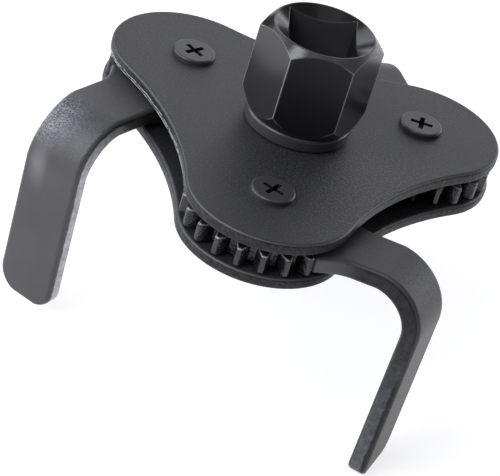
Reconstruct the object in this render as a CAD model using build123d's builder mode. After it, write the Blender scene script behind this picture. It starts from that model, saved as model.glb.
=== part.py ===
"""Two-way oil filter wrench: a driven sun gear swings three geared jaws that grip the end of an oil filter.

Frame: +Z up along the drive axis, origin at the centre of the square drive's mouth, millimetres.
The tool stands on its three jaw tips with the drive head on top.
"""

import os
from math import acos, cos, degrees, pi, radians, sin, sqrt, tan

from build123d import *

os.makedirs("parts", exist_ok=True)

# Gear train: three jaws of 21 teeth (partly cut away) around an 18-tooth sun gear
MODULE = 1.36
PRESSURE_ANGLE = 20.0
SUN_TEETH = 18
JAW_TEETH = 21
TOOTH_THINNING = 0.24  # taken off each tooth at the pitch circle, for backlash
ROOT_DEPTH = 1.25  # depth of a tooth space below the pitch circle, in modules
TOOTH_ROOTING = 0.5  # how far a tooth is sunk into the gear's body
FLANK_STEPS = 4
PIVOT_CIRCLE = MODULE * (SUN_TEETH + JAW_TEETH) / 2  # radius of the circle the three pivots stand on
LOBES = {"front": -90.0, "right": 30.0, "left": 150.0}  # direction of each lobe of the plates

# Heights, downward from the mouth of the drive
HEAD_HEIGHT = 18.0
COLLAR_THICKNESS = 2.85
TOP_PLATE_THICKNESS = 2.4
PLATE_GAP = 5.2
BOTTOM_PLATE_THICKNESS = 2.3
HEAD_FOOT = -HEAD_HEIGHT
TOP_PLATE_TOP = HEAD_FOOT - COLLAR_THICKNESS
TOP_PLATE_FOOT = TOP_PLATE_TOP - TOP_PLATE_THICKNESS
BOTTOM_PLATE_TOP = TOP_PLATE_FOOT - PLATE_GAP
BOTTOM_PLATE_FOOT = BOTTOM_PLATE_TOP - BOTTOM_PLATE_THICKNESS

# Fits
RUNNING = 0.06  # radial clearance of every turning fit
SLIP = 0.05  # gap between flat faces that slide on each other
SEATED = 0.02  # gap around a piece that sits still on its seat
END_PLAY = 0.1  # free height over the gears
SCREW_CLEARANCE = 0.1  # radial, where a screw passes through
CUT_MARGIN = 1.0  # how far a cutting shape reaches past the surface it cuts

# Plates: three round lobes joined by long hollow curves
LOBE_RADIUS = 16.0
WAIST_RADIUS = 25.84
PLATE_EDGE_ROUND = 0.7

# Drive spindle: a 13/16 inch hexagon with a 1/2 inch female square, a neck, a flatted seat and a foot
HEX_ACROSS_FLATS = 20.64
HEX_CORNER_ANGLE = 9.0
RIM_RADIUS = 9.75
RIM_LAND = 0.2
TOP_BEVEL_ANGLE = 43.0
FOOT_BEVEL_RADIUS = 10.1
FOOT_BEVEL_HEIGHT = 3.0
SQUARE_SIDE = 12.85
SQUARE_ANGLE = 10.5
SQUARE_DEPTH = 16.0
DETENT_RADIUS = 1.8
DETENT_DEPTH = 0.8
DETENT_HEIGHT = -11.0
NECK_RADIUS = 8.0
SEAT_RADIUS = 7.0
SEAT_FLATS = 11.0
FOOT_RADIUS = 5.5
FOOT_CHAMFER = 0.6
FOOT_BELOW_RING = 1.3
COUNTERSINK_SLOPE = 30.0
DRILL_POINT_DEPTH = 2.0

# Collar between the head and the top plate
COLLAR_RADIUS = 10.25
COLLAR_ROUND = 0.6

# Jaws: flat bars cut to one length and bent down into legs. Each bar is bent by hand, so arms, bends,
# legs and tips differ a little.
JAW_THICKNESS = 3.6
JAW_PLAY = 0.45  # free height under a jaw
BAR_LENGTH = 70.6  # along the middle of the bar, from the pivot to the tip
BAR_WIDTH = 12.6
ARM_ROOT = 8.0  # where the bar starts inside the geared disc
ARM_ROOT_WIDTH = 13.9  # the arm narrows from here to the bend
EDGE_ROUND = 0.9
BEND_INNER_RADIUS = 7.0
BEND_ANGLE = 92.0
TWIST_LENGTH = 3.0  # stretch before the bend where the bar turns from the arm's direction to the leg's
TOOTHLESS_HALF_ANGLE = 37.0
# from straight outward: rest direction of the arm, and the way the leg's outer face looks
ARM_ANGLES = {"front": 83.0, "right": 86.4, "left": 90.6}
LEG_ANGLES = {"front": 75.1, "right": 84.9, "left": 93.1}
BEND_STARTS = {"front": 24.6, "right": 26.0, "left": 26.4}  # distance of the bend from the pivot
# corner radii of the leg's tip: on the left and on the right, seen from outside
TIP_ROUNDS = {"front": (2.1, 3.5), "right": (2.5, 3.5), "left": (4.7, 3.7)}
JAW_FOOT = BOTTOM_PLATE_TOP + JAW_PLAY
JAW_TOP = JAW_FOOT + JAW_THICKNESS

# Pivots: a sleeve between the plates, a washer over the jaw and a cross-recessed screw
SLEEVE_RADIUS = 5.0
SCREW_RADIUS = 2.5
SCREW_HEAD_RADIUS = 4.2
SCREW_HEAD_HEIGHT = 1.0
SCREW_END = 0.5  # how far the screw stands out of the bottom plate
SCREW_HEAD_ROUND = 0.4
SCREW_END_CHAMFER = 0.4
CROSS_ANGLES = {"front": -26.0, "right": 0.0, "left": -39.0}
CROSS_LENGTH = 4.4
CROSS_WIDTH = 1.0
CROSS_DEPTH = 1.1
CROSS_TAPER = 12.0
WASHER_RADIUS = 8.5

# Retaining ring and washer under the bottom plate
FOOT_WASHER_RADIUS = 8.5
FOOT_WASHER_THICKNESS = 0.8
RING_RADIUS = 7.4
RING_THICKNESS = 1.0
RING_GROOVE_RADIUS = 4.9
RING_GAP_ANGLE = 60.0
RING_EYE_RADIUS = 0.6
RING_EYE_ANGLE = 9.0  # from the ring's end to its eye
FOOT_END = BOTTOM_PLATE_FOOT - FOOT_WASHER_THICKNESS - RING_THICKNESS - FOOT_BELOW_RING


def polar(radius, angle):
    """Point at a radius and an angle in degrees, as a plain pair."""
    return (radius * cos(radians(angle)), radius * sin(radians(angle)))


def level(height):
    """Horizontal plane at a height."""
    return Plane.XY.offset(height)


def plate_outline():
    """Closed wire of the plates: lobe arcs and hollow arcs, tangent to each other."""
    drop = LOBE_RADIUS - WAIST_RADIUS
    hollow_distance = (PIVOT_CIRCLE**2 - drop**2) / (PIVOT_CIRCLE + 2 * drop)
    with BuildLine() as outline:
        for lobe in LOBES.values():
            centre = Vector(*polar(PIVOT_CIRCLE, lobe))
            before = Vector(*polar(hollow_distance, lobe - 60)) - centre
            after = Vector(*polar(hollow_distance, lobe + 60)) - centre
            start = centre + before.normalized() * LOBE_RADIUS
            end = centre + after.normalized() * LOBE_RADIUS
            tip = Vector(*polar(PIVOT_CIRCLE + LOBE_RADIUS, lobe))
            next_centre = Vector(*polar(PIVOT_CIRCLE, lobe + 120))
            back = Vector(*polar(hollow_distance, lobe + 60)) - next_centre
            next_start = next_centre + back.normalized() * LOBE_RADIUS
            ThreePointArc(start, tip, end)
            ThreePointArc(end, Vector(*polar(WAIST_RADIUS, lobe + 60)), next_start)
    return outline.wire()


def involute_angle(radius, base_radius):
    """Angle in degrees that an involute has swept at a radius."""
    roll = acos(base_radius / radius)
    return degrees(tan(roll) - roll)


def tooth_face(teeth):
    """One gear tooth pointing along +X, rooted inside the gear's body."""
    pitch_radius = MODULE * teeth / 2
    base_radius = pitch_radius * cos(radians(PRESSURE_ANGLE))
    tip_radius = pitch_radius + MODULE
    root_radius = pitch_radius - ROOT_DEPTH * MODULE
    half_pitch = degrees((pi * MODULE / 2 - TOOTH_THINNING) / (2 * pitch_radius))
    half_base = half_pitch + involute_angle(pitch_radius, base_radius)
    low = max(base_radius, root_radius)
    radii = [low + (tip_radius - low) * step / FLANK_STEPS for step in range(FLANK_STEPS + 1)]
    flank = [(r, half_base - involute_angle(r, base_radius)) for r in radii]
    left = [polar(r, angle) for r, angle in flank]
    right = [polar(r, -angle) for r, angle in flank]
    root_left = polar(root_radius - TOOTH_ROOTING, flank[0][1])
    root_right = polar(root_radius - TOOTH_ROOTING, -flank[0][1])
    with BuildSketch() as tooth:
        with BuildLine():
            Line(root_left, left[0])
            Spline(*left)
            ThreePointArc(left[-1], (tip_radius, 0), right[-1])
            Spline(*reversed(right))
            Line(right[0], root_right)
            Line(root_right, root_left)
        make_face()
    return tooth.sketch


def export(part, name):
    """Labels one piece and writes it."""
    part.label = name
    export_step(part, f"parts/{name}.step")


def make_plate(name, top, thickness, centre_hole, screw_hole):
    """Trilobe plate with rounded edges, a hole for the spindle and three for the screws."""
    with BuildPart() as plate:
        with BuildSketch(level(top - thickness)):
            with BuildLine():
                add(plate_outline())
            make_face()
        extrude(amount=thickness)
        rims = plate.edges().group_by(Axis.Z)
        fillet(rims[0] + rims[-1], PLATE_EDGE_ROUND)
        with BuildSketch(level(top)):
            Circle(centre_hole)
            with PolarLocations(PIVOT_CIRCLE, 3, start_angle=LOBES["front"]):
                Circle(screw_hole)
        extrude(amount=-thickness, mode=Mode.SUBTRACT)
    export(plate.part, name)


def make_spindle():
    """Hexagon head with its square, neck through the top plate, flatted gear seat and grooved foot."""
    corner = HEX_ACROSS_FLATS / sqrt(3)
    reach = corner + CUT_MARGIN
    bevel_drop = (reach - RIM_RADIUS) * tan(radians(TOP_BEVEL_ANGLE))
    foot_slope = (corner - FOOT_BEVEL_RADIUS) / FOOT_BEVEL_HEIGHT
    neck_foot = TOP_PLATE_FOOT - END_PLAY
    groove_top = BOTTOM_PLATE_FOOT - FOOT_WASHER_THICKNESS
    with BuildPart() as spindle:
        with BuildSketch(level(HEAD_FOOT)):
            RegularPolygon(corner, 6, rotation=HEX_CORNER_ANGLE)
        extrude(amount=HEAD_HEIGHT)
        # a turned profile bevels both ends of the hexagon
        with BuildSketch(Plane.XZ):
            with BuildLine():
                Polyline(
                    (0, 0),
                    (RIM_RADIUS, 0),
                    (reach, -bevel_drop),
                    (reach, HEAD_FOOT + FOOT_BEVEL_HEIGHT + CUT_MARGIN / foot_slope),
                    (FOOT_BEVEL_RADIUS, HEAD_FOOT),
                    (0, HEAD_FOOT),
                    close=True,
                )
            make_face()
        revolve(axis=Axis.Z, mode=Mode.INTERSECT)
        # turned shank: neck, gear seat and foot
        with BuildSketch(level(HEAD_FOOT)):
            Circle(NECK_RADIUS)
        extrude(amount=neck_foot - HEAD_FOOT)
        with BuildSketch(level(neck_foot)):
            Circle(SEAT_RADIUS)
            Rectangle(2 * SEAT_RADIUS, SEAT_FLATS, mode=Mode.INTERSECT)
        extrude(amount=JAW_FOOT - neck_foot)
        with BuildSketch(level(JAW_FOOT)):
            Circle(FOOT_RADIUS)
        extrude(amount=FOOT_END - JAW_FOOT)
        foot_edge = spindle.faces().sort_by(Axis.Z)[0].edges()
        chamfer(foot_edge, FOOT_CHAMFER)
        # groove for the retaining ring
        with BuildSketch(level(groove_top)):
            Circle(FOOT_RADIUS + CUT_MARGIN)
            Circle(RING_GROOVE_RADIUS, mode=Mode.SUBTRACT)
        extrude(amount=-RING_THICKNESS, mode=Mode.SUBTRACT)
        # 120 degree countersink, square socket, drill point and detent dimples
        mouth = RIM_RADIUS - RIM_LAND
        with BuildSketch(Plane.XZ):
            with BuildLine():
                Polyline((0, 0), (mouth, 0), (0, -mouth * tan(radians(COUNTERSINK_SLOPE))), close=True)
            make_face()
        revolve(axis=Axis.Z, mode=Mode.SUBTRACT)
        with BuildSketch(level(0)):
            Rectangle(SQUARE_SIDE, SQUARE_SIDE, rotation=SQUARE_ANGLE)
        extrude(amount=-SQUARE_DEPTH, mode=Mode.SUBTRACT)
        with BuildSketch(Plane.XZ):
            with BuildLine():
                drill_point = (0, -SQUARE_DEPTH - DRILL_POINT_DEPTH)
                Polyline((0, -SQUARE_DEPTH), (SQUARE_SIDE / 2, -SQUARE_DEPTH), drill_point, close=True)
            make_face()
        revolve(axis=Axis.Z, mode=Mode.SUBTRACT)
        for side in range(4):
            outward = Vector(*polar(1, SQUARE_ANGLE + 90 * side))
            wall = outward * (SQUARE_SIDE / 2 - CUT_MARGIN) + Vector(0, 0, DETENT_HEIGHT)
            with BuildSketch(Plane(origin=wall, z_dir=outward)):
                Circle(DETENT_RADIUS)
            extrude(amount=DETENT_DEPTH + CUT_MARGIN, mode=Mode.SUBTRACT)
    export(spindle.part, "drive_spindle")


def make_collar():
    """Ring that keeps the turning head off the top plate."""
    with BuildPart() as collar:
        with BuildSketch(level(TOP_PLATE_TOP)):
            Circle(COLLAR_RADIUS)
            Circle(NECK_RADIUS + RUNNING, mode=Mode.SUBTRACT)
        extrude(amount=COLLAR_THICKNESS - SLIP)
        rims = collar.edges().filter_by(GeomType.CIRCLE).sort_by(SortBy.RADIUS)[-2:]
        fillet(rims, COLLAR_ROUND)
    export(collar.part, "spindle_collar")


def make_sun_gear():
    """Gear on the spindle's flatted seat; a space between teeth faces each jaw."""
    root_radius = MODULE * (SUN_TEETH / 2 - ROOT_DEPTH)
    tooth = tooth_face(SUN_TEETH)
    with BuildPart() as gear:
        with BuildSketch(level(JAW_FOOT)):
            Circle(root_radius)
            with PolarLocations(0, SUN_TEETH, start_angle=LOBES["front"] + 180 / SUN_TEETH):
                add(tooth)
        extrude(amount=TOP_PLATE_FOOT - END_PLAY - JAW_FOOT)
        with BuildSketch(level(JAW_FOOT)):
            Circle(SEAT_RADIUS + SEATED)
            Rectangle(2 * SEAT_RADIUS + CUT_MARGIN, SEAT_FLATS + 2 * SEATED, mode=Mode.INTERSECT)
        extrude(amount=PLATE_GAP, mode=Mode.SUBTRACT)
    export(gear.part, "sun_gear")


def bar_section(origin, forward):
    """Plane across the bar: its X to the left of the way the bar runs, its Z along it."""
    across = Vector(0, 0, 1).cross(Vector(forward.X, forward.Y, 0)).normalized()
    return Plane(origin=origin, x_dir=across, z_dir=forward)


def make_jaw(name):
    """Geared disc with a bar that leaves it flat, bends down and ends as a rounded leg."""
    lobe = LOBES[name]
    arm_angle = lobe + ARM_ANGLES[name]
    bend_start = BEND_STARTS[name]
    pivot = Vector(*polar(PIVOT_CIRCLE, lobe), JAW_FOOT)
    along_arm = Vector(*polar(1, arm_angle))
    outward = Vector(*polar(1, lobe + LEG_ANGLES[name]))
    bar_line = pivot + Vector(0, 0, JAW_THICKNESS / 2)
    arm_root = bar_section(bar_line + along_arm * ARM_ROOT, along_arm)
    arm_end = bar_section(bar_line + along_arm * (bend_start - TWIST_LENGTH), along_arm)
    bend_plane = bar_section(bar_line + along_arm * bend_start, outward)
    # the bend turns about a level line below the bar
    bend_radius = BEND_INNER_RADIUS + JAW_THICKNESS / 2
    bend_centre = bend_plane.origin - Vector(0, 0, bend_radius)
    turned = radians(BEND_ANGLE)
    leg_length = BAR_LENGTH - bend_start - bend_radius * turned
    leg_start = bend_centre + outward * (bend_radius * sin(turned)) + Vector(0, 0, bend_radius * cos(turned))
    down = outward * cos(turned) - Vector(0, 0, sin(turned))
    leg_plane = Plane(origin=leg_start, x_dir=bend_plane.x_dir, z_dir=down)
    leg_face = Plane(origin=leg_start, x_dir=bend_plane.x_dir, z_dir=bend_plane.x_dir.cross(-down))
    tip_left, tip_right = TIP_ROUNDS[name]
    # one tooth points at the spindle; those under the arm are left off
    root_radius = MODULE * (JAW_TEETH / 2 - ROOT_DEPTH)
    pitch = 360 / JAW_TEETH
    tooth = tooth_face(JAW_TEETH)
    spindle_side = 180 - ARM_ANGLES[name]
    angles = [(spindle_side + pitch * k + 180) % 360 - 180 for k in range(JAW_TEETH)]
    teeth = [angle + arm_angle for angle in angles if abs(angle) > TOOTHLESS_HALF_ANGLE]
    with BuildPart() as jaw:
        with BuildSketch(Plane(origin=pivot)):
            Circle(root_radius)
            for angle in teeth:
                with PolarLocations(0, 1, start_angle=angle):
                    add(tooth)
        extrude(amount=JAW_THICKNESS)
        # flat bar out of the disc
        with BuildSketch(arm_root):
            RectangleRounded(ARM_ROOT_WIDTH, JAW_THICKNESS, EDGE_ROUND)
        with BuildSketch(arm_end):
            RectangleRounded(BAR_WIDTH, JAW_THICKNESS, EDGE_ROUND)
        loft(ruled=True)
        # short twist into the bend
        with BuildSketch(arm_end, bend_plane):
            RectangleRounded(BAR_WIDTH, JAW_THICKNESS, EDGE_ROUND)
        loft(ruled=True)
        with BuildSketch(bend_plane):
            RectangleRounded(BAR_WIDTH, JAW_THICKNESS, EDGE_ROUND)
        revolve(axis=Axis(bend_centre, bend_plane.x_dir), revolution_arc=BEND_ANGLE)
        with BuildSketch(leg_plane):
            RectangleRounded(BAR_WIDTH, JAW_THICKNESS, EDGE_ROUND)
        extrude(amount=leg_length)
        # bore for the pivot sleeve
        with BuildSketch(Plane(origin=pivot)):
            Circle(SLEEVE_RADIUS + RUNNING)
        extrude(amount=JAW_THICKNESS, mode=Mode.SUBTRACT)
        # round the tip's corners across the thickness
        with BuildSketch(leg_face):
            for side, radius in ((-1, tip_left), (1, tip_right)):
                edge = side * BAR_WIDTH / 2
                outside = edge + side * CUT_MARGIN
                below = -leg_length - CUT_MARGIN
                on_edge = (edge, radius - leg_length)
                on_tip = (edge - side * radius, -leg_length)
                with BuildLine():
                    RadiusArc(on_edge, on_tip, side * radius)
                    Polyline(on_tip, (on_tip[0], below), (outside, below), (outside, on_edge[1]), on_edge)
                make_face()
        extrude(amount=JAW_THICKNESS, both=True, mode=Mode.SUBTRACT)
    export(jaw.part, f"{name}_jaw")


def make_sleeve(name):
    """Spacer between the plates that a jaw turns on."""
    with BuildPart() as sleeve:
        with BuildSketch(Plane(origin=(*polar(PIVOT_CIRCLE, LOBES[name]), BOTTOM_PLATE_TOP))):
            Circle(SLEEVE_RADIUS)
            Circle(SCREW_RADIUS + SCREW_CLEARANCE, mode=Mode.SUBTRACT)
        extrude(amount=PLATE_GAP)
    export(sleeve.part, f"{name}_pivot_sleeve")


def make_washer(name):
    """Washer that fills the height over a jaw."""
    with BuildPart() as washer:
        with BuildSketch(Plane(origin=(*polar(PIVOT_CIRCLE, LOBES[name]), JAW_TOP + END_PLAY))):
            Circle(WASHER_RADIUS)
            Circle(SLEEVE_RADIUS + RUNNING, mode=Mode.SUBTRACT)
        extrude(amount=TOP_PLATE_FOOT - SLIP - JAW_TOP - END_PLAY)
    export(washer.part, f"{name}_jaw_washer")


def make_screw(name):
    """Low round-headed screw with a cross recess, through the sleeve into the bottom plate."""
    centre = polar(PIVOT_CIRCLE, LOBES[name])
    head_top = TOP_PLATE_TOP + SCREW_HEAD_HEIGHT
    screw_end = BOTTOM_PLATE_FOOT - SCREW_END
    with BuildPart() as screw:
        with BuildSketch(Plane(origin=(*centre, screw_end))):
            Circle(SCREW_RADIUS)
        extrude(amount=TOP_PLATE_TOP - screw_end)
        chamfer(screw.edges().sort_by(Axis.Z)[0], SCREW_END_CHAMFER)
        with BuildSketch(Plane(origin=(*centre, TOP_PLATE_TOP))):
            Circle(SCREW_HEAD_RADIUS)
        extrude(amount=SCREW_HEAD_HEIGHT)
        fillet(screw.edges().sort_by(Axis.Z)[-1], SCREW_HEAD_ROUND)
        with BuildSketch(Plane(origin=(*centre, head_top))):
            Rectangle(CROSS_LENGTH, CROSS_WIDTH, rotation=CROSS_ANGLES[name])
            Rectangle(CROSS_WIDTH, CROSS_LENGTH, rotation=CROSS_ANGLES[name])
        extrude(amount=-CROSS_DEPTH, taper=CROSS_TAPER, mode=Mode.SUBTRACT)
    export(screw.part, f"{name}_pivot_screw")


def make_foot_washer():
    """Washer between the bottom plate and the retaining ring."""
    with BuildPart() as washer:
        with BuildSketch(level(BOTTOM_PLATE_FOOT)):
            Circle(FOOT_WASHER_RADIUS)
            Circle(FOOT_RADIUS + RUNNING, mode=Mode.SUBTRACT)
        extrude(amount=SLIP - FOOT_WASHER_THICKNESS)
    export(washer.part, "foot_washer")


def make_retaining_ring():
    """Open ring sprung into the groove of the spindle's foot, with an eye at each end."""
    half_gap = RING_GAP_ANGLE / 2
    eye_circle = (RING_RADIUS + RING_GROOVE_RADIUS) / 2
    eye_angle = half_gap + RING_EYE_ANGLE
    with BuildPart() as ring:
        with BuildSketch(level(BOTTOM_PLATE_FOOT - FOOT_WASHER_THICKNESS)):
            Circle(RING_RADIUS)
            Circle(RING_GROOVE_RADIUS + SEATED, mode=Mode.SUBTRACT)
            with BuildLine():
                gap_side = RING_RADIUS / cos(radians(half_gap)) + CUT_MARGIN
                Polyline((0, 0), polar(gap_side, -half_gap), polar(gap_side, half_gap), close=True)
            make_face(mode=Mode.SUBTRACT)
            with Locations(polar(eye_circle, eye_angle), polar(eye_circle, -eye_angle)):
                Circle(RING_EYE_RADIUS, mode=Mode.SUBTRACT)
        extrude(amount=2 * SEATED - RING_THICKNESS)
    export(ring.part, "retaining_ring")


screw_hole = SCREW_RADIUS + SCREW_CLEARANCE
make_plate("top_plate", TOP_PLATE_TOP, TOP_PLATE_THICKNESS, NECK_RADIUS + RUNNING, screw_hole)
make_plate("bottom_plate", BOTTOM_PLATE_TOP, BOTTOM_PLATE_THICKNESS, FOOT_RADIUS + RUNNING, SCREW_RADIUS)
make_spindle()
make_collar()
make_sun_gear()
make_foot_washer()
make_retaining_ring()
for lobe_name in LOBES:
    make_jaw(lobe_name)
    make_sleeve(lobe_name)
    make_washer(lobe_name)
    make_screw(lobe_name)
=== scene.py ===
import math

import bmesh
import bpy
from mathutils import Matrix, Vector


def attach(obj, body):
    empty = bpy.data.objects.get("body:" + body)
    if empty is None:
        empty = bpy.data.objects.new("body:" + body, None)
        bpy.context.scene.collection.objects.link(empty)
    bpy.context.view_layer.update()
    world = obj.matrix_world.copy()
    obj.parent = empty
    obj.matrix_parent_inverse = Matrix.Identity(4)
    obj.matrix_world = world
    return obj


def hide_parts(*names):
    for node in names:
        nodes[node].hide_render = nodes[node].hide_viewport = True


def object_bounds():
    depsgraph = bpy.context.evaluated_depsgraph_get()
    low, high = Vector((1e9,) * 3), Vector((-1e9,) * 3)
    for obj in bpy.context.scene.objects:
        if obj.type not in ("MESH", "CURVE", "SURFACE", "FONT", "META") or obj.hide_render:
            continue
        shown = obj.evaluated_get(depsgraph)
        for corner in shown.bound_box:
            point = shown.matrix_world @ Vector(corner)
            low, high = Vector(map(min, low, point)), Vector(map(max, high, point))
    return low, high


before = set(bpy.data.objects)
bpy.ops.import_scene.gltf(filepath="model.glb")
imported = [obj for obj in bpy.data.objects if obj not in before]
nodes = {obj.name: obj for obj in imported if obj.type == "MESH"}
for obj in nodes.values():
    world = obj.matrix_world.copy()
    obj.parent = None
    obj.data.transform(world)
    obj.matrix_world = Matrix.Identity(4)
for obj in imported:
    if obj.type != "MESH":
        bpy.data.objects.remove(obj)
cad_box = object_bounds()
scene = bpy.context.scene

# the part's own dimensions, in millimetres and degrees
LOBES = {"front": -90.0, "right": 30.0, "left": 150.0}
PIVOT_CIRCLE = 26.52
TOP_PLATE = (-23.25, 2.4)  # foot and thickness
BOTTOM_PLATE = (-30.75, 2.3)
MM = 0.001


def compass(angle):
    """Level unit vector at an angle in degrees from +X."""
    return Vector((math.cos(math.radians(angle)), math.sin(math.radians(angle)), 0.0))


# ---------------------------------------------------------------- node helpers
def new_material(name):
    """Empty node material with its output, returned with the tree and the shader."""
    mat = bpy.data.materials.new(name)
    mat.use_nodes = True
    tree = mat.node_tree
    tree.nodes.clear()
    out = tree.nodes.new("ShaderNodeOutputMaterial")
    shader = tree.nodes.new("ShaderNodeBsdfPrincipled")
    tree.links.new(shader.outputs["BSDF"], out.inputs["Surface"])
    return mat, tree, shader


def noise(tree, coords, scale, detail=2.0, roughness=0.5, distortion=0.0):
    """Procedural noise between 0 and 1."""
    n = tree.nodes.new("ShaderNodeTexNoise")
    n.inputs["Scale"].default_value = scale
    n.inputs["Detail"].default_value = detail
    n.inputs["Roughness"].default_value = roughness
    n.inputs["Distortion"].default_value = distortion
    tree.links.new(coords, n.inputs["Vector"])
    return n.outputs["Fac"]


def span(tree, value, low, high, to_low=0.0, to_high=1.0):
    """Map value from low..high to to_low..to_high, clamped."""
    n = tree.nodes.new("ShaderNodeMapRange")
    n.clamp = True
    tree.links.new(value, n.inputs["Value"])
    n.inputs["From Min"].default_value = low
    n.inputs["From Max"].default_value = high
    n.inputs["To Min"].default_value = to_low
    n.inputs["To Max"].default_value = to_high
    return n.outputs["Result"]


def mix_colour(tree, fac, a, b):
    """Colour a where fac is 0 and b where it is 1; each is a value or an output."""
    n = tree.nodes.new("ShaderNodeMix")
    n.data_type = "RGBA"
    for socket, value in ((n.inputs["Factor"], fac), (n.inputs[6], a), (n.inputs[7], b)):
        if isinstance(value, tuple):
            socket.default_value = (*value, 1.0)
        elif isinstance(value, (int, float)):
            socket.default_value = value
        else:
            tree.links.new(value, socket)
    return n.outputs[2]


def add_values(tree, a, b, operation="ADD"):
    """The sum of two values or outputs, or another operation on them."""
    n = tree.nodes.new("ShaderNodeMath")
    n.operation = operation
    for socket, value in ((n.inputs[0], a), (n.inputs[1], b)):
        if isinstance(value, (int, float)):
            socket.default_value = value
        else:
            tree.links.new(value, socket)
    return n.outputs[0]


def bump(tree, height, strength, distance, below=None):
    """Normal that shows height as relief, on top of the normal in below."""
    n = tree.nodes.new("ShaderNodeBump")
    n.inputs["Strength"].default_value = strength
    n.inputs["Distance"].default_value = distance
    tree.links.new(height, n.inputs["Height"])
    if below is not None:
        tree.links.new(below, n.inputs["Normal"])
    return n.outputs["Normal"]


def object_coords(tree):
    return tree.nodes.new("ShaderNodeTexCoord").outputs["Object"]


def parts_of(tree, vector):
    """The three components of a vector output."""
    n = tree.nodes.new("ShaderNodeSeparateXYZ")
    tree.links.new(vector, n.inputs[0])
    return n.outputs[0], n.outputs[1], n.outputs[2]


def flatness(tree):
    """1 where the surface lies level, 0 where it stands upright."""
    upward = parts_of(tree, tree.nodes.new("ShaderNodeTexCoord").outputs["Normal"])[2]
    return add_values(tree, upward, 0.0, "ABSOLUTE")


def band(tree, value, centre, half_width, softness):
    """1 within half_width of centre, fading to 0 over softness."""
    away = add_values(tree, add_values(tree, value, centre, "SUBTRACT"), 0.0, "ABSOLUTE")
    return span(tree, away, half_width, half_width + softness, 1.0, 0.0)


def times(tree, a, b):
    return add_values(tree, a, b, "MULTIPLY")


def edge_of(tree, radius):
    """Normal softened over every edge, and a mask that is 1 along the edges."""
    soft = tree.nodes.new("ShaderNodeBevel")
    soft.samples = 8
    soft.inputs["Radius"].default_value = radius
    turned = tree.nodes.new("ShaderNodeVectorMath")
    turned.operation = "DOT_PRODUCT"
    tree.links.new(soft.outputs["Normal"], turned.inputs[0])
    tree.links.new(tree.nodes.new("ShaderNodeNewGeometry").outputs["Normal"], turned.inputs[1])
    return soft.outputs["Normal"], span(tree, turned.outputs["Value"], 0.995, 0.93)


# squared distances from the drive axis, in square metres, between which the head's corners begin
CORNER_START, CORNER_FULL = 0.000118, 0.000135


def black_steel(name, grey, rough, grain, grain_scale=2400.0, specular=0.5, edge=None, worn_highlight_grey=0.1):
    """Blackened steel with a sandy skin: colour and gloss drift slowly, the grain stands in relief.

    With edge, edges are rounded by that radius and lightened to the given edge grey, partly wear and partly
    painted highlight, near the axis only a little.
    """
    mat, tree, shader = new_material(name)
    co = object_coords(tree)
    drift = span(tree, noise(tree, co, 45.0, 3.0, 0.55), 0.35, 0.65)
    fine = noise(tree, co, grain_scale, 2.0, 0.6)
    low, high = grey * 0.88, grey * 1.12
    colour = mix_colour(tree, drift, (low, low, low * 1.06), (high, high, high * 1.06))
    sparkle = span(tree, fine, 0.3, 0.7, -0.15 * grain, 0.22 * grain)
    gloss = add_values(tree, span(tree, drift, 0.0, 1.0, rough - 0.02, rough + 0.02), sparkle)
    below = None
    if edge:
        below, edges = edge_of(tree, edge)
        x, y, _ = parts_of(tree, co)
        distance_squared = add_values(tree, times(tree, x, x), times(tree, y, y))
        # lighter edges: partly wear, partly painted highlight
        worn_and_highlit = times(tree, edges, span(tree, distance_squared, CORNER_START, CORNER_FULL, 0.12, 1.0))
        colour = mix_colour(tree, worn_and_highlit, colour, (worn_highlight_grey, worn_highlight_grey, worn_highlight_grey))
    tree.links.new(colour, shader.inputs["Base Color"])
    tree.links.new(gloss, shader.inputs["Roughness"])
    tree.links.new(bump(tree, fine, grain, 0.0001, below), shader.inputs["Normal"])
    shader.inputs["Specular IOR Level"].default_value = specular
    return mat


# the place on the plate, in metres, around which the photograph shows the coarsest sparkle
COARSE_GLINT_SPOT = (0.013, -0.017, -0.021)


def stamped_steel(name):
    """Plate steel: sandy, coarsest grain and painted glints in front of the head, edges lighter by wear and
    painted highlight.
    """
    mat, tree, shader = new_material(name)
    co = object_coords(tree)
    drift = span(tree, noise(tree, co, 45.0, 3.0, 0.55), 0.35, 0.65)
    sand = noise(tree, co, 2300.0, 3.0, 0.65)
    apart = tree.nodes.new("ShaderNodeVectorMath")
    apart.operation = "DISTANCE"
    tree.links.new(co, apart.inputs[0])
    apart.inputs[1].default_value = COARSE_GLINT_SPOT
    # near that spot the grain is coarser, and its lighter specks are painted glints
    coarse_and_glinting = span(tree, apart.outputs["Value"], 0.008, 0.026, 1.0, 0.45)
    speck = times(tree, span(tree, sand, 0.48, 0.66), coarse_and_glinting)
    colour = mix_colour(tree, drift, (0.0135, 0.0137, 0.0150), (0.0180, 0.0182, 0.0195))
    colour = mix_colour(tree, times(tree, speck, 0.75), colour, (0.070, 0.070, 0.073))
    # a lighter line on the rounded edges, partly wear and partly painted highlight
    wear_and_highlight_line = times(tree, band(tree, flatness(tree), 0.70, 0.08, 0.10), 0.5)
    colour = mix_colour(tree, wear_and_highlight_line, colour, (0.09, 0.09, 0.095))
    tree.links.new(colour, shader.inputs["Base Color"])
    sparkle = span(tree, speck, 0.0, 1.0, 0.05, -0.05)
    gloss = add_values(tree, span(tree, drift, 0.0, 1.0, 0.40, 0.44), sparkle)
    tree.links.new(gloss, shader.inputs["Roughness"])
    tree.links.new(bump(tree, times(tree, sand, coarse_and_glinting), 0.85, 0.00018), shader.inputs["Normal"])
    shader.inputs["Specular IOR Level"].default_value = 0.5
    return mat


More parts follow.
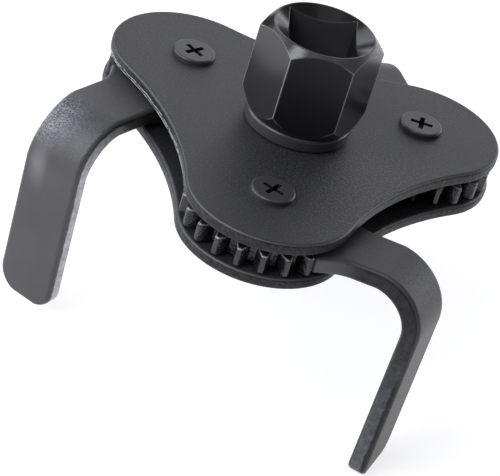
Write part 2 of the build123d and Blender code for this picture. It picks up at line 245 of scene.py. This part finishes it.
def torn_rim(name, plate, dark, light, burr, specular):
    """Rim of a stamped plate: pitted, with broken burr lines near its foot on the left of the part."""
    mat, tree, shader = new_material(name)
    foot, thickness = plate[0] * MM, plate[1] * MM
    co = object_coords(tree)
    sideways, _, height = parts_of(tree, co)
    pits = noise(tree, co, 1500.0, 4.0, 0.7, 0.3)
    colour = mix_colour(tree, span(tree, pits, 0.40, 0.62), dark, light)
    wander = span(tree, noise(tree, co, 260.0, 3.0, 0.6), 0.25, 0.75, -0.12, 0.12)
    place = add_values(tree, span(tree, height, foot, foot + thickness), wander)
    broken = span(tree, noise(tree, co, 620.0, 3.0, 0.65), 0.38, 0.50)
    lower_line = band(tree, place, 0.17, 0.06, 0.05)
    middle_line = times(tree, band(tree, place, 0.42, 0.03, 0.04), 0.5)
    lines = add_values(tree, lower_line, middle_line, "MAXIMUM")
    leftward = span(tree, sideways, -0.0190, -0.0155, 1.0, 0.0)
    colour = mix_colour(tree, times(tree, times(tree, lines, broken), leftward), colour, burr)
    tree.links.new(colour, shader.inputs["Base Color"])
    tree.links.new(span(tree, pits, 0.35, 0.65, 0.50, 0.36), shader.inputs["Roughness"])
    tree.links.new(bump(tree, pits, 0.6, 0.0002), shader.inputs["Normal"])
    shader.inputs["Specular IOR Level"].default_value = specular
    return mat


def gear_teeth_steel(name):
    """Oiled black gear: flanks and roots in painted shade, edges lighter by wear and painted highlight,
    uneven skin.
    """
    mat, tree, shader = new_material(name)
    co = object_coords(tree)
    level = flatness(tree)
    blotch = noise(tree, co, 420.0, 4.0, 0.65)
    fine = noise(tree, co, 1800.0, 2.0, 0.6)
    top = mix_colour(tree, span(tree, blotch, 0.4, 0.62), (0.008, 0.008, 0.009), (0.036, 0.036, 0.038))
    # upright flanks and roots darker than the tops: painted shade
    flank = mix_colour(tree, span(tree, blotch, 0.42, 0.6), (0.003, 0.003, 0.003), (0.016, 0.016, 0.017))
    colour = mix_colour(tree, span(tree, level, 0.45, 0.12), top, flank)
    # lighter rounded top edges: partly wear, partly painted highlight
    worn_and_highlit = times(tree, band(tree, level, 0.66, 0.16, 0.12), span(tree, blotch, 0.35, 0.55, 0.35, 1.0))
    colour = mix_colour(tree, worn_and_highlit, colour, (0.24, 0.24, 0.25))
    tree.links.new(colour, shader.inputs["Base Color"])
    tree.links.new(span(tree, blotch, 0.35, 0.65, 0.34, 0.20), shader.inputs["Roughness"])
    skin = bump(tree, blotch, 1.0, 0.00045)
    tree.links.new(bump(tree, fine, 0.25, 0.0001, skin), shader.inputs["Normal"])
    shader.inputs["Specular IOR Level"].default_value = 0.55
    return mat


def bar_place(tree):
    """Position on a bar in millimetres: across it, towards its outer face and along it from the pivot."""
    n = tree.nodes.new("ShaderNodeAttribute")
    n.attribute_name = "bar_place"
    return parts_of(tree, n.outputs["Vector"])


def bar_steel(name, painted_highlights, specular):
    """Rolled skin of a bar: fine sand. The second argument at 1 paints highlights: bright specks on its bend
    and a pale streak below them; at 0 it leaves them out and darkens the leg with painted shade."""
    mat, tree, shader = new_material(name)
    co = object_coords(tree)
    drift = noise(tree, co, 60.0, 3.0, 0.55)
    fine = noise(tree, co, 2200.0, 2.0, 0.6)
    across, _, along = bar_place(tree)
    colour = mix_colour(tree, span(tree, drift, 0.35, 0.65), (0.036, 0.036, 0.038), (0.047, 0.047, 0.049))
    # darker leg where the second argument is 0: painted shade
    leg = span(tree, along, 38.0, 50.0, 0.0, 1.0 - painted_highlights)
    colour = mix_colour(tree, leg, colour, (0.013, 0.0125, 0.0125))
    # bright specks on the bend and a pale streak below them: painted highlights
    bend_glint_band = band(tree, along, 32.25, 1.74, 4.35)
    shifted = add_values(tree, across, span(tree, drift, 0.3, 0.7, -1.5, 1.5))
    patch = times(tree, bend_glint_band, span(tree, shifted, -4.5, 2.0, 1.0, 0.12))
    specks = span(tree, noise(tree, co, 3000.0, 3.0, 0.75), 0.44, 0.66)
    bright = times(tree, patch, times(tree, specks, painted_highlights))
    colour = mix_colour(tree, bright, colour, (0.38, 0.39, 0.42))
    highlight_streak = times(tree, band(tree, across, -3.1, 0.6, 1.8), band(tree, along, 41.0, 0.8, 5.0))
    uneven = times(tree, span(tree, drift, 0.3, 0.7, 0.3, 0.6), painted_highlights)
    colour = mix_colour(tree, times(tree, highlight_streak, uneven), colour, (0.17, 0.17, 0.18))
    tree.links.new(colour, shader.inputs["Base Color"])
    gloss = add_values(tree, span(tree, fine, 0.3, 0.7, 0.36, 0.45), times(tree, bright, -0.08))
    tree.links.new(gloss, shader.inputs["Roughness"])
    grain = bump(tree, fine, 0.27, 0.0001)
    tree.links.new(bump(tree, specks, 0.25, 0.00012, grain), shader.inputs["Normal"])
    shader.inputs["Specular IOR Level"].default_value = specular
    return mat


def sheared_steel(name, root, upper, tip, change, line_from, specular):
    """Torn side of a bar: root colour, then a dark and a light colour for its upper part and for its tip, in
    painted light and shade.

    The colours change over the given distances along the bar; a ragged black line follows its outer edge.
    """
    mat, tree, shader = new_material(name)
    co = object_coords(tree)
    _, out, along = bar_place(tree)
    pits = noise(tree, co, 1200.0, 4.0, 0.7, 0.4)
    smears = noise(tree, co, 380.0, 3.0, 0.6)
    torn = span(tree, add_values(tree, pits, times(tree, smears, 0.5)), 0.58, 0.90)
    # root, upper part and tip differ in painted light and shade
    near_root = span(tree, along, 14.0, 21.0, 1.0, 0.0)
    colour = mix_colour(tree, near_root, mix_colour(tree, torn, *upper), root)
    colour = mix_colour(tree, span(tree, along, *change), colour, mix_colour(tree, torn, *tip))
    wander = span(tree, noise(tree, co, 600.0, 4.0, 0.7), 0.25, 0.75, -0.3, 0.3)
    line = span(tree, add_values(tree, out, wander), 0.72, 0.88)
    line = times(tree, line, span(tree, along, line_from, line_from + 3.0, 0.0, 0.9))
    colour = mix_colour(tree, line, colour, (0.004, 0.004, 0.004))
    tree.links.new(colour, shader.inputs["Base Color"])
    tree.links.new(span(tree, torn, 0.0, 1.0, 0.50, 0.32), shader.inputs["Roughness"])
    tree.links.new(bump(tree, pits, 0.4, 0.00018), shader.inputs["Normal"])
    shader.inputs["Specular IOR Level"].default_value = specular
    return mat


# ------------------------------------------------------------------- materials
plate_steel = stamped_steel("plate_steel")
top_rim_steel = torn_rim("top_rim_steel", TOP_PLATE, dark=(0.004, 0.004, 0.004),
                         light=(0.026, 0.026, 0.027), burr=(0.62, 0.62, 0.64), specular=0.25)
foot_rim_steel = torn_rim("foot_rim_steel", BOTTOM_PLATE, dark=(0.008, 0.008, 0.008),
                          light=(0.030, 0.030, 0.032), burr=(0.09, 0.09, 0.093), specular=0.22)
head_steel = black_steel("head_steel", 0.013, 0.20, 0.05, edge=0.0004, worn_highlight_grey=0.30)
# a darker, duller head steel: painted shade on one flat and one socket wall
painted_shade_head_steel = black_steel("painted_shade_head_steel", 0.009, 0.30, 0.05, specular=0.18, edge=0.0004, worn_highlight_grey=0.30)
# a lighter, duller head steel: painted light on one bevel
painted_light_bevel_steel = black_steel("painted_light_bevel_steel", 0.036, 0.40, 0.05, edge=0.0004, worn_highlight_grey=0.16)
socket_steel = black_steel("socket_steel", 0.045, 0.50, 0.10, specular=0.6)
collar_steel = black_steel("collar_steel", 0.042, 0.27, 0.06)
screw_steel = black_steel("screw_steel", 0.033, 0.34, 0.20, edge=0.00012, worn_highlight_grey=0.12)
recess_steel = black_steel("recess_steel", 0.004, 0.45, 0.20, specular=0.2)
bright_steel = black_steel("bright_steel", 0.22, 0.36, 0.15, grain_scale=1800.0)
bright_steel.node_tree.nodes["Principled BSDF"].inputs["Metallic"].default_value = 1.0
gear_steel = gear_teeth_steel("gear_steel")
# the front and right jaws have painted shade on their legs, the left jaw painted highlights on its bend and
# leg
jaw_steel = bar_steel("jaw_steel", 0.0, 0.3)
left_jaw_steel = bar_steel("left_jaw_steel", 1.0, 0.5)
# two copies of one sheared steel: the left jaw's sides in painted light towards the tip and painted shade
# near the root, the other jaws' sides in painted shade
painted_lit_cut = sheared_steel("painted_lit_cut", root=(0.006, 0.006, 0.006),
                           upper=((0.004, 0.004, 0.004), (0.045, 0.045, 0.047)),
                           tip=((0.33, 0.33, 0.34), (0.60, 0.60, 0.62)),
                           change=(25.0, 38.0), line_from=22.0, specular=0.5)
painted_shaded_cut = sheared_steel("painted_shaded_cut", root=(0.085, 0.086, 0.090),
                         upper=((0.002, 0.002, 0.002), (0.016, 0.016, 0.017)),
                         tip=((0.045, 0.046, 0.049), (0.100, 0.102, 0.108)),
                         change=(36.0, 66.0), line_from=46.0, specular=0.25)

FINISH = {
    "top_plate": (plate_steel, "plates"),
    "bottom_plate": (plate_steel, "plates"),
    "drive_spindle": (head_steel, "drive_head"),
    "spindle_collar": (collar_steel, "collar"),
    "sun_gear": (gear_steel, "gears"),
    "foot_washer": (bright_steel, "small_steel"),
    "retaining_ring": (bright_steel, "small_steel"),
}
for side in LOBES:
    FINISH[f"{side}_jaw"] = (jaw_steel, "jaws")
    FINISH[f"{side}_pivot_sleeve"] = (bright_steel, "small_steel")
    FINISH[f"{side}_jaw_washer"] = (bright_steel, "small_steel")
    FINISH[f"{side}_pivot_screw"] = (screw_steel, "screws")

for name, (material, slot_name) in FINISH.items():
    node = nodes[name]
    node.data.materials.clear()
    node.data.materials.append(material)

# the plates' outer walls are torn, the wall of the hole for the spindle isn't
SPINDLE_HOLE = 14.5 * MM
for name, rim_steel in (("top_plate", top_rim_steel), ("bottom_plate", foot_rim_steel)):
    plate_mesh = nodes[name].data
    plate_mesh.materials.append(rim_steel)
    for polygon in plate_mesh.polygons:
        if abs(polygon.normal.z) < 0.5 and polygon.center.xy.length > SPINDLE_HOLE:
            polygon.material_index = 1

# the cross recesses are painted darker than the studio light alone leaves them
RECESS_REACH = 2.4 * MM
RECESS_FLOOR, RECESS_MOUTH = -22.5 * MM, -19.9 * MM
for side, lobe in LOBES.items():
    screw_axis = compass(lobe).xy * PIVOT_CIRCLE * MM
    screw_mesh = nodes[f"{side}_pivot_screw"].data
    screw_mesh.materials.append(recess_steel)
    for polygon in screw_mesh.polygons:
        inside = (polygon.center.xy - screw_axis).length < RECESS_REACH
        if inside and RECESS_FLOOR < polygon.center.z < RECESS_MOUTH:
            polygon.material_index = 1

# Painted light and shade on the head itself, which the plain studio light doesn't give: a flat towards the
# front at rest in painted shade, a bevel there in painted light, and a socket with one wall in painted
# shade. They turn with the head.
PAINTED_SHADE_FLAT = compass(279.0)
SHADED_WALL = compass(190.5)
PAINTED_LIGHT_BEVEL = (288.0, 360.0)
SOCKET_REACH = 9.5 * MM
SOCKET_FLOOR = -16.5 * MM
BEVEL_FOOT = -4.0 * MM
head_mesh = nodes["drive_spindle"].data
for extra in (painted_shade_head_steel, socket_steel, painted_light_bevel_steel):
    head_mesh.materials.append(extra)
for polygon in head_mesh.polygons:
    normal, centre = polygon.normal, polygon.center
    bearing = math.degrees(math.atan2(centre.y, centre.x)) % 360.0
    if centre.xy.length > SOCKET_REACH:
        if normal.dot(PAINTED_SHADE_FLAT) > 0.99:
            polygon.material_index = 1
        elif centre.z > BEVEL_FOOT and 0.3 < normal.z < 0.99 and PAINTED_LIGHT_BEVEL[0] < bearing < PAINTED_LIGHT_BEVEL[1]:
            polygon.material_index = 3
    elif abs(normal.z) < 0.1 and centre.z > SOCKET_FLOOR:
        polygon.material_index = 1 if normal.dot(SHADED_WALL) > 0.95 else 2


# ------------------------------------------------------------------------ jaws
JAW_FOOT = -28.0
JAW_THICKNESS = 3.6
BORE = 5.06
BAR_HALF_WIDTH = 6.3
BAR_LENGTH = 70.6
BEND_RADIUS = 8.8
BEND_ANGLE = math.radians(92.0)
TWIST = 3.0
ROOT_SLOPE = 0.7265
EDGE_ROUND = 0.9
TIP_ROUND = 0.55
# the root of the arm widens by FLARE into the disc, from ROOT_END inwards over FLARE_LENGTH
FLARE, ROOT_END, FLARE_LENGTH = 2.9, 19.5, 6.9
ROOT_STATIONS = (8.0, 10.0, 11.0, 12.0, 12.6, 13.0, 13.6, 14.5, 15.3, 16.0, 17.0, 18.0, 19.0)
SECTION_POINTS = 28
SHEARED_POINTS = (25, 26, 27, 0, 1, 11, 12, 13, 14, 15)  # both upright sides of a section
TEETH = 21
ARM_CLEARANCE = 37.0  # degrees from the arm to its first tooth
GEAR_PITCH, GEAR_BASE, GEAR_TIP, GEAR_ROOT = 14.28, 13.419, 15.64, 12.58
HALF_TOOTH_AT_PITCH = 0.0716  # radians, a little under a quarter of the tooth pitch, for backlash
# direction of the arm and of the leg from straight outward, start of the bend, corner radii of the tip
JAWS = {
    "front": (83.0, 75.1, 24.6, 2.1, 3.5),
    "right": (86.4, 84.9, 26.0, 2.5, 3.5),
    "left": (90.6, 93.1, 26.4, 4.7, 3.7),
}


def half_tooth(radius):
    """Half the angle of a tooth at a radius, in degrees."""
    def swept(r):
        roll = math.acos(min(GEAR_BASE / r, 1.0))
        return math.tan(roll) - roll

    return math.degrees(HALF_TOOTH_AT_PITCH + swept(GEAR_PITCH) - swept(max(radius, GEAR_BASE)))


def gear_ring(first, inset):
    """Closed outline of a jaw's toothed disc, drawn in by inset: (radius, angle from the arm) all round."""
    pitch = 360.0 / TEETH
    turns = [(first + pitch * k) % 360.0 for k in range(TEETH)]
    centres = sorted(c for c in turns if ARM_CLEARANCE < c < 360.0 - ARM_CLEARANCE)
    root = GEAR_ROOT - 0.3 * inset
    tip = GEAR_TIP - inset
    ring = []
    for i, centre in enumerate(centres):
        flank = []
        for step in range(7):
            full = GEAR_ROOT + 0.18 + (GEAR_TIP - 0.12 - GEAR_ROOT - 0.18) * step / 6
            drawn = full - inset * (0.3 + 0.7 * step / 6)
            flank.append((drawn, half_tooth(full) - math.degrees(0.5 * inset / full)))
        top = flank[-1][1]
        foot = (root, flank[0][1] + 0.9)
        for r, a in [foot] + flank:
            ring.append((r, centre - a))
        for part, drop in ((-0.72, 0.03), (-0.3, 0.0), (0.3, 0.0), (0.72, 0.03)):
            ring.append((tip - drop, centre + top * part))
        for r, a in reversed([foot] + flank):
            ring.append((r, centre + a))
        last = i == len(centres) - 1
        start = centre + foot[1]
        end = (centres[0] + 360.0 if last else centres[i + 1]) - foot[1]
        steps = 26 if last else 3
        for step in range(1, steps):
            ring.append((root, start + (end - start) * step / steps))
    return ring


def toothed_disc(pivot, arm_angle, first):
    """Vertices and faces of the disc: rounded far more on its top edges than on its bottom edges."""
    low, high = JAW_FOOT - 0.02, JAW_FOOT + JAW_THICKNESS + 0.02
    levels = [(low, 0.2), (low + 0.03, 0.1), (low + 0.1, 0.03), (low + 0.2, 0.0)]
    for step in range(6):
        turn = math.radians(90 * step / 5)
        levels.append((high - 0.5 * (1 - math.sin(turn)), 0.5 * (1 - math.cos(turn))))
    rows = [[(r, a, z) for r, a in gear_ring(first, inset)] for z, inset in levels]
    rows.append([(BORE, a, high) for r, a, z in rows[-1]])
    rows.append([(BORE, a, low) for r, a, z in rows[0]])
    verts = [pivot + compass(arm_angle + a) * r + Vector((0, 0, z)) for row in rows for r, a, z in row]
    n = len(rows[0])
    faces = []
    for row in range(len(rows)):
        below, above = row * n, (row + 1) % len(rows) * n
        for i in range(n):
            j = (i + 1) % n
            faces.append((below + i, below + j, above + j, above + i))
    return verts, faces


def bar_section(trim_left, trim_right, half_width, half_height, edge, pinch):
    """Rounded rectangle across the bar, anticlockwise from its right: x across, y to the outer face."""
    left, right = -half_width + trim_left, half_width - trim_right
    points = []
    for cx, cy, start in ((right - edge, half_height - edge, 0), (left + edge, half_height - edge, 90),
                          (left + edge, edge - half_height, 180), (right - edge, edge - half_height, 270)):
        for step in range(7):
            turn = math.radians(start + 15 * step)
            points.append((cx + edge * math.cos(turn), cy + edge * math.sin(turn)))
    return [(x * (1 - pinch * (y / half_height + 0.2)), y) for x, y in points]


def rounding(radius, drop):
    """How far a corner of this radius draws in at the distance drop from the end."""
    if drop >= radius:
        return 0.0
    return radius - math.sqrt(max(radius**2 - (radius - drop) ** 2, 0.0))


def bent_bar(pivot, arm_angle, out_angle, bend_start, tip_left, tip_right):
    """The bar's vertices, faces, face kinds (1 on the sheared sides) and places along it, in millimetres."""
    upright = Vector((0, 0, 1))
    middle = pivot + Vector((0, 0, JAW_FOOT + JAW_THICKNESS / 2))
    along, outward = compass(arm_angle), compass(out_angle)
    arm_left, leg_left = upright.cross(along), upright.cross(outward)
    half = JAW_THICKNESS / 2
    # each station: centre, across, outer side, distance along, half width, trims, half height, edge, pinch
    stations = []
    for s in ROOT_STATIONS + (bend_start - TWIST,):
        flare = FLARE * (max(ROOT_END - s, 0.0) / FLARE_LENGTH) ** 2
        wide = max(min(BAR_HALF_WIDTH + flare, s * ROOT_SLOPE), BAR_HALF_WIDTH)
        stations.append((middle + along * s, arm_left, upright, s, wide, 0, 0, half, EDGE_ROUND, 0.0))
    bend_top = middle + along * bend_start
    centre = bend_top - upright * BEND_RADIUS
    for step in range(25):
        turn = BEND_ANGLE * step / 24
        outer = outward * math.sin(turn) + upright * math.cos(turn)
        s = bend_start + BEND_RADIUS * turn
        pinch = 0.05 * math.sin(math.pi * step / 24)
        stations.append((centre + outer * BEND_RADIUS, leg_left, outer, s,
                         BAR_HALF_WIDTH, 0, 0, half, EDGE_ROUND, pinch))
    down = outward * math.cos(BEND_ANGLE) - upright * math.sin(BEND_ANGLE)
    leg_top, s_top = stations[-1][0], stations[-1][3]
    leg = BAR_LENGTH - s_top
    longest = max(tip_left, tip_right)
    drops = [longest + (leg - longest) * k / 6 for k in range(5, 0, -1)]
    drops += [longest * (1 - math.sin(math.radians(7.5 * k))) for k in range(13)]
    for drop in drops:
        thin = rounding(TIP_ROUND, drop)
        edge = EDGE_ROUND - 0.8 * thin
        stations.append((leg_top + down * (leg - drop), leg_left, outer, BAR_LENGTH - drop,
                         BAR_HALF_WIDTH, rounding(tip_left, drop), rounding(tip_right, drop),
                         half - thin, edge, 0.0))
    verts, places = [], []
    for at, across, outer_side, s, wide, cut_left, cut_right, high, edge, pinch in stations:
        for x, y in bar_section(cut_left, cut_right, wide, high, edge, pinch):
            verts.append(at + across * x + outer_side * y)
            places.append((x, y, s))
    n = SECTION_POINTS
    faces, kinds = [], []
    for row in range(len(stations) - 1):
        for i in range(n):
            j = (i + 1) % n
            faces.append((row * n + i, row * n + j, row * n + n + j, row * n + n + i))
            kinds.append(1 if i in SHEARED_POINTS else 0)
    faces.append(tuple(range(n - 1, -1, -1)))
    faces.append(tuple(range(len(verts) - n, len(verts))))
    kinds += [0, 1]
    return verts, faces, kinds, places


def make_jaw(name, skin, sheared, toothed):
    """The whole jaw as one mesh, in place of its CAD node."""
    arm, leg, bend_start, tip_left, tip_right = JAWS[name]
    lobe = LOBES[name]
    pivot = compass(lobe) * PIVOT_CIRCLE
    verts, faces, kinds, places = bent_bar(pivot, lobe + arm, lobe + leg, bend_start, tip_left, tip_right)
    disc_verts, disc_faces = toothed_disc(pivot, lobe + arm, 180.0 - arm)
    base = len(verts)
    verts += disc_verts
    faces += [tuple(base + i for i in face) for face in disc_faces]
    kinds += [2] * len(disc_faces)
    mesh = bpy.data.meshes.new(f"{name}_jaw_shape")
    mesh.from_pydata([v * MM for v in verts], [], faces)
    for material in (skin, sheared, toothed):
        mesh.materials.append(material)
    mesh.polygons.foreach_set("material_index", kinds)
    mesh.polygons.foreach_set("use_smooth", [True] * len(faces))
    place = mesh.attributes.new("bar_place", "FLOAT_VECTOR", "POINT")
    flat = [c for p in places for c in p] + [0.0, 0.0, 0.0] * len(disc_verts)
    place.data.foreach_set("vector", flat)
    jaw = bpy.data.objects.new(f"{name}_jaw_shape", mesh)
    scene.collection.objects.link(jaw)
    work = bmesh.new()
    work.from_mesh(mesh)
    bmesh.ops.recalc_face_normals(work, faces=work.faces)
    work.to_mesh(mesh)
    work.free()
    shade = jaw.modifiers.new("even_shading", "WEIGHTED_NORMAL")
    shade.keep_sharp = False
    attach(jaw, f"{name}_jaw_body")
    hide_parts(f"{name}_jaw")


make_jaw("front", jaw_steel, painted_shaded_cut, gear_steel)
make_jaw("right", jaw_steel, painted_shaded_cut, gear_steel)
make_jaw("left", left_jaw_steel, painted_lit_cut, gear_steel)

# ----------------------------------------------------------------------- floor
# the floor glows a little, so that it comes out as pale as the photograph's and its shadows stay soft
floor_z = cad_box[0].z
mat, tree, shader = new_material("pale_floor")
co = object_coords(tree)
pale = mix_colour(tree, noise(tree, co, 3.0), (0.48, 0.48, 0.48), (0.52, 0.52, 0.52))
tree.links.new(pale, shader.inputs["Base Color"])
shader.inputs["Roughness"].default_value = 0.9
shader.inputs["Emission Color"].default_value = (1, 1, 1, 1)
shader.inputs["Emission Strength"].default_value = 0.72
floor_mesh = bpy.data.meshes.new("floor")
FLOOR_REACH = 3.0
corners = [(x * FLOOR_REACH, y * FLOOR_REACH, floor_z) for x, y in ((-1, -1), (1, -1), (1, 1), (-1, 1))]
floor_mesh.from_pydata(corners, [], [(0, 1, 2, 3)])
floor = bpy.data.objects.new("floor", floor_mesh)
floor.data.materials.append(mat)
scene.collection.objects.link(floor)


# ---------------------------------------------------------------------- lights
LIGHT_DISTANCE = 1.2
LIGHT_COLOUR = (0.975, 0.98, 1.07)  # a little cool


def softbox(name, azimuth, elevation, wide, high, brightness):
    """Rectangular light on a dome around the part; brightness 1 is a white surface in the picture."""
    data = bpy.data.lights.new(name, "AREA")
    data.shape = "RECTANGLE"
    data.size = wide
    data.size_y = high
    data.energy = math.pi * wide * high * brightness
    data.color = LIGHT_COLOUR
    a = math.radians(azimuth)
    e = math.radians(elevation)
    away = Vector((math.cos(a) * math.cos(e), math.sin(a) * math.cos(e), math.sin(e)))
    lamp = bpy.data.objects.new(name, data)
    lamp.location = away * LIGHT_DISTANCE
    lamp.rotation_euler = (-away).to_track_quat("-Z", "Y").to_euler()
    scene.collection.objects.link(lamp)


# name, azimuth, elevation, width, height, brightness
softbox("left_low", 180, 12, 0.92, 0.51, 4.4)
softbox("front_left_low", 225, 12, 0.92, 0.51, 1.1)
softbox("back_right_low", 45, 12, 0.92, 0.51, 3.0)
softbox("back_low", 90, 12, 0.92, 0.51, 1.25)
softbox("left", 180, 36, 0.76, 0.55, 1.8)
softbox("front_left", 225, 36, 0.76, 0.55, 4.6)
softbox("back_left", 135, 36, 0.76, 0.55, 1.95)
softbox("back", 90, 36, 0.76, 0.55, 1.05)
softbox("front_left_high", 234, 62, 0.75, 0.60, 1.0)
softbox("front_right_high", 306, 62, 0.75, 0.60, 1.0)
softbox("key", 217, 55, 0.35, 0.35, 8.0)
softbox("top", 0, 89.9, 0.60, 0.60, 0.3)

world = bpy.data.worlds.new("studio")
world.use_nodes = True
world.node_tree.nodes["Background"].inputs["Color"].default_value = (1.0, 1.0, 1.0, 1.0)
world.node_tree.nodes["Background"].inputs["Strength"].default_value = 0.04
scene.world = world
scene.view_settings.view_transform = "Standard"

# ---------------------------------------------------------------------- camera
AZIMUTH = math.radians(-0.815)
ELEVATION = math.radians(32.624)
ROLL = math.radians(17.411)
level = Vector((math.sin(AZIMUTH), math.cos(AZIMUTH), 0))
forward = level * math.cos(ELEVATION) - Vector((0, 0, math.sin(ELEVATION)))
right = Vector((math.cos(AZIMUTH), -math.sin(AZIMUTH), 0))
up = right.cross(forward)
x_axis = right * math.cos(ROLL) + up * math.sin(ROLL)
y_axis = up * math.cos(ROLL) - right * math.sin(ROLL)
camera_data = bpy.data.cameras.new("camera")
camera_data.sensor_width = 36.0
camera_data.lens = 190.69
camera_data.clip_start = 0.01
camera_data.clip_end = 20.0
camera = bpy.data.objects.new("camera", camera_data)
camera.matrix_world = Matrix((x_axis, y_axis, -forward)).transposed().to_4x4()
camera.location = (0.004389, -0.433601, 0.229143)
scene.collection.objects.link(camera)
scene.camera = camera
